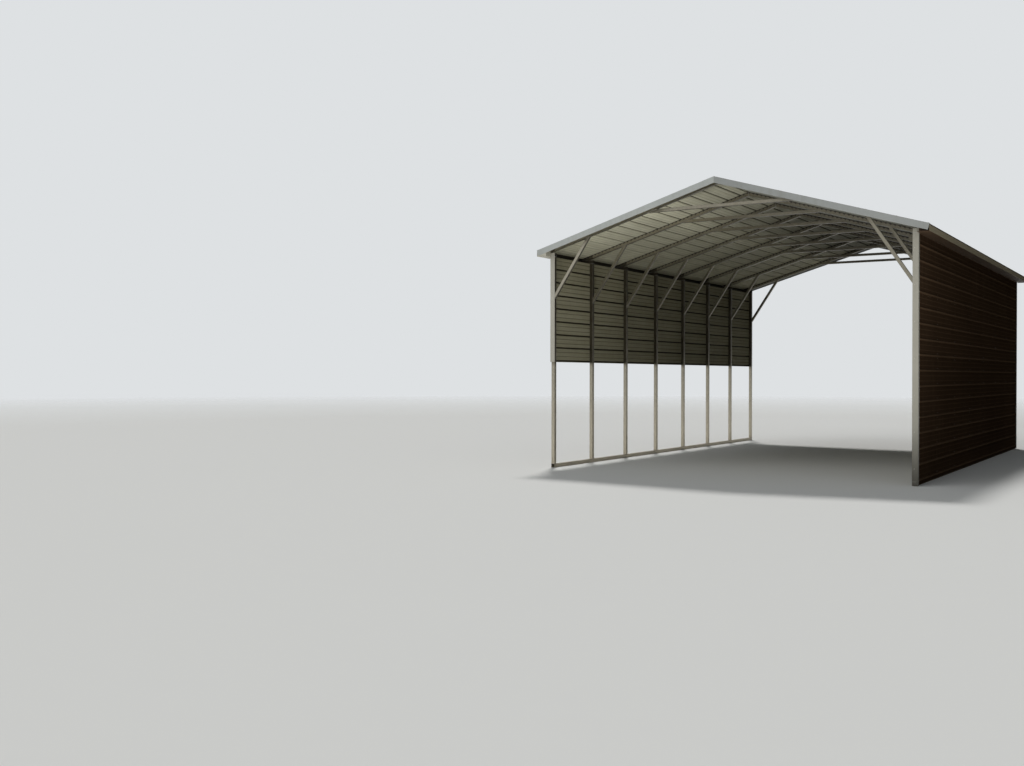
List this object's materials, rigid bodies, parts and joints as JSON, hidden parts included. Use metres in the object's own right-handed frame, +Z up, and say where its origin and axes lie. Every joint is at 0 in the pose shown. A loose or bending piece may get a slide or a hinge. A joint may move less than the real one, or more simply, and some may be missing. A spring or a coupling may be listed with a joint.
{
  "type": "open tube-frame carport",
  "caption": "Gable-roofed open carport on square tube frames with ribbed sheet roof, a full side wall and a half side wall.",
  "frame": {"origin": "on the ground, in the middle of the carport's plan", "axes": "+Y along the ridge from the front gable to the rear gable, +X towards the full side wall, +Z up"},
  "size_m": [6.5048, 10.1856, 4.7463],
  "materials": {
    "galvanised_tube": "galvanised, dull",
    "brown_sheet": "baked paint, satin, dark brown outside with a pale backer coat inside",
    "pale_trim": "baked paint, satin, pale grey beige"
  },
  "bodies": {
    "root": {"base_rails": "galvanised_tube", "eave_trims": "pale_trim", "frame_1_braces": "galvanised_tube", "frame_1_left_rafter": "galvanised_tube", "frame_1_posts": "galvanised_tube", "frame_1_right_rafter": "galvanised_tube", "frame_2_braces": "galvanised_tube", "frame_2_left_rafter": "galvanised_tube", "frame_2_posts": "galvanised_tube", "frame_2_right_rafter": "galvanised_tube", "frame_3_braces": "galvanised_tube", "frame_3_left_rafter": "galvanised_tube", "frame_3_posts": "galvanised_tube", "frame_3_right_rafter": "galvanised_tube", "frame_4_braces": "galvanised_tube", "frame_4_left_rafter": "galvanised_tube", "frame_4_posts": "galvanised_tube", "frame_4_right_rafter": "galvanised_tube", "frame_5_braces": "galvanised_tube", "frame_5_left_rafter": "galvanised_tube", "frame_5_posts": "galvanised_tube", "frame_5_right_rafter": "galvanised_tube", "frame_6_braces": "galvanised_tube", "frame_6_left_rafter": "galvanised_tube", "frame_6_posts": "galvanised_tube", "frame_6_right_rafter": "galvanised_tube", "frame_7_braces": "galvanised_tube", "frame_7_left_rafter": "galvanised_tube", "frame_7_posts": "galvanised_tube", "frame_7_right_rafter": "galvanised_tube", "frame_8_braces": "galvanised_tube", "frame_8_left_rafter": "galvanised_tube", "frame_8_posts": "galvanised_tube", "frame_8_right_rafter": "galvanised_tube", "front_left_rake_trim": "pale_trim", "front_right_rake_trim": "pale_trim", "left_corner_trims": "pale_trim", "left_eave_end_trims": "pale_trim", "left_roof": "brown_sheet", "left_wall": "brown_sheet", "rear_left_rake_trim": "pale_trim", "rear_right_rake_trim": "pale_trim", "ridge_cap": "brown_sheet", "right_corner_trims": "pale_trim", "right_eave_end_trims": "brown_sheet", "right_roof": "brown_sheet", "right_wall": "brown_sheet", "soffits": "brown_sheet"}
  },
  "joints": []
}
